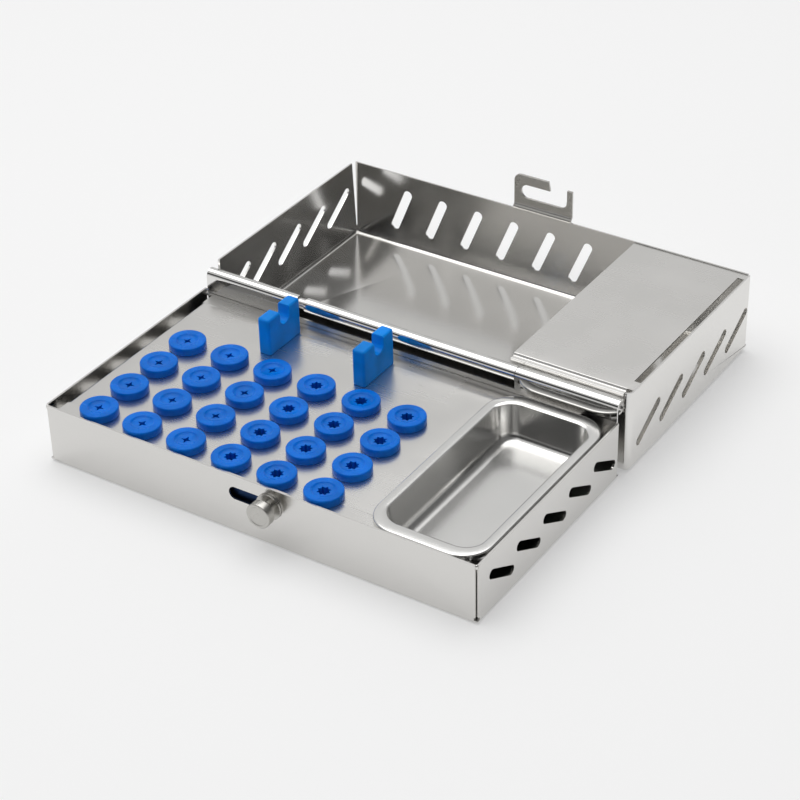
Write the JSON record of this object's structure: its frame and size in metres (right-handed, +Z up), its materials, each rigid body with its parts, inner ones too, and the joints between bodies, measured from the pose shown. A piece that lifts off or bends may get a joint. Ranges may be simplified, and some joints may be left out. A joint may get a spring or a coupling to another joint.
{
  "type": "surgical instrument box",
  "caption": "Hinged perforated steel box with silicone grommets and rests, a lift-out tray and a sliding latch, for holding small rotary instruments.",
  "frame": {"origin": "centre of the base's underside", "axes": "+X along the hinge, +Y from the front wall towards the open lid, +Z up"},
  "size_m": [0.1515, 0.1709, 0.04],
  "materials": {
    "base_steel": "satin",
    "plate_steel": "satin",
    "tray_steel": "polished",
    "lid_steel": "satin",
    "cover_steel": "satin",
    "latch_steel": "polished",
    "pin_steel": "polished",
    "grommet_silicone": "satin",
    "rest_silicone": "satin"
  },
  "bodies": {
    "base": {"base_shell": "base_steel", "bur_plate": "plate_steel", "grommet_1_1": "grommet_silicone", "grommet_1_2": "grommet_silicone", "grommet_1_3": "grommet_silicone", "grommet_1_4": "grommet_silicone", "grommet_2_1": "grommet_silicone", "grommet_2_2": "grommet_silicone", "grommet_2_3": "grommet_silicone", "grommet_2_4": "grommet_silicone", "grommet_3_1": "grommet_silicone", "grommet_3_2": "grommet_silicone", "grommet_3_3": "grommet_silicone", "grommet_3_4": "grommet_silicone", "grommet_4_1": "grommet_silicone", "grommet_4_2": "grommet_silicone", "grommet_4_3": "grommet_silicone", "grommet_4_4": "grommet_silicone", "grommet_5_1": "grommet_silicone", "grommet_5_2": "grommet_silicone", "grommet_5_3": "grommet_silicone", "grommet_5_4": "grommet_silicone", "grommet_6_1": "grommet_silicone", "grommet_6_2": "grommet_silicone", "grommet_6_3": "grommet_silicone", "grommet_6_4": "grommet_silicone", "instrument_rest_left": "rest_silicone", "instrument_rest_right": "rest_silicone", "tray_insert": "tray_steel", "latch_guide": "base_steel", "hinge_pin": "pin_steel"},
    "lid": {"lid_shell": "lid_steel", "cover_plate": "cover_steel", "latch_hook": "latch_steel"},
    "latch": {"latch_slider": "latch_steel", "latch_knob": "latch_steel"}
  },
  "joints": [
    {"name": "lid_hinge", "type": "hinge", "parent": "base", "child": "lid", "pos_m": [0, 0.0417, 0.02405], "axis": [1, 0, 0], "range_deg": [0, 180]},
    {"name": "latch_slide", "type": "slide", "parent": "base", "child": "latch", "axis": [1, 0, 0], "range_m": [-0.0118, 0]}
  ]
}
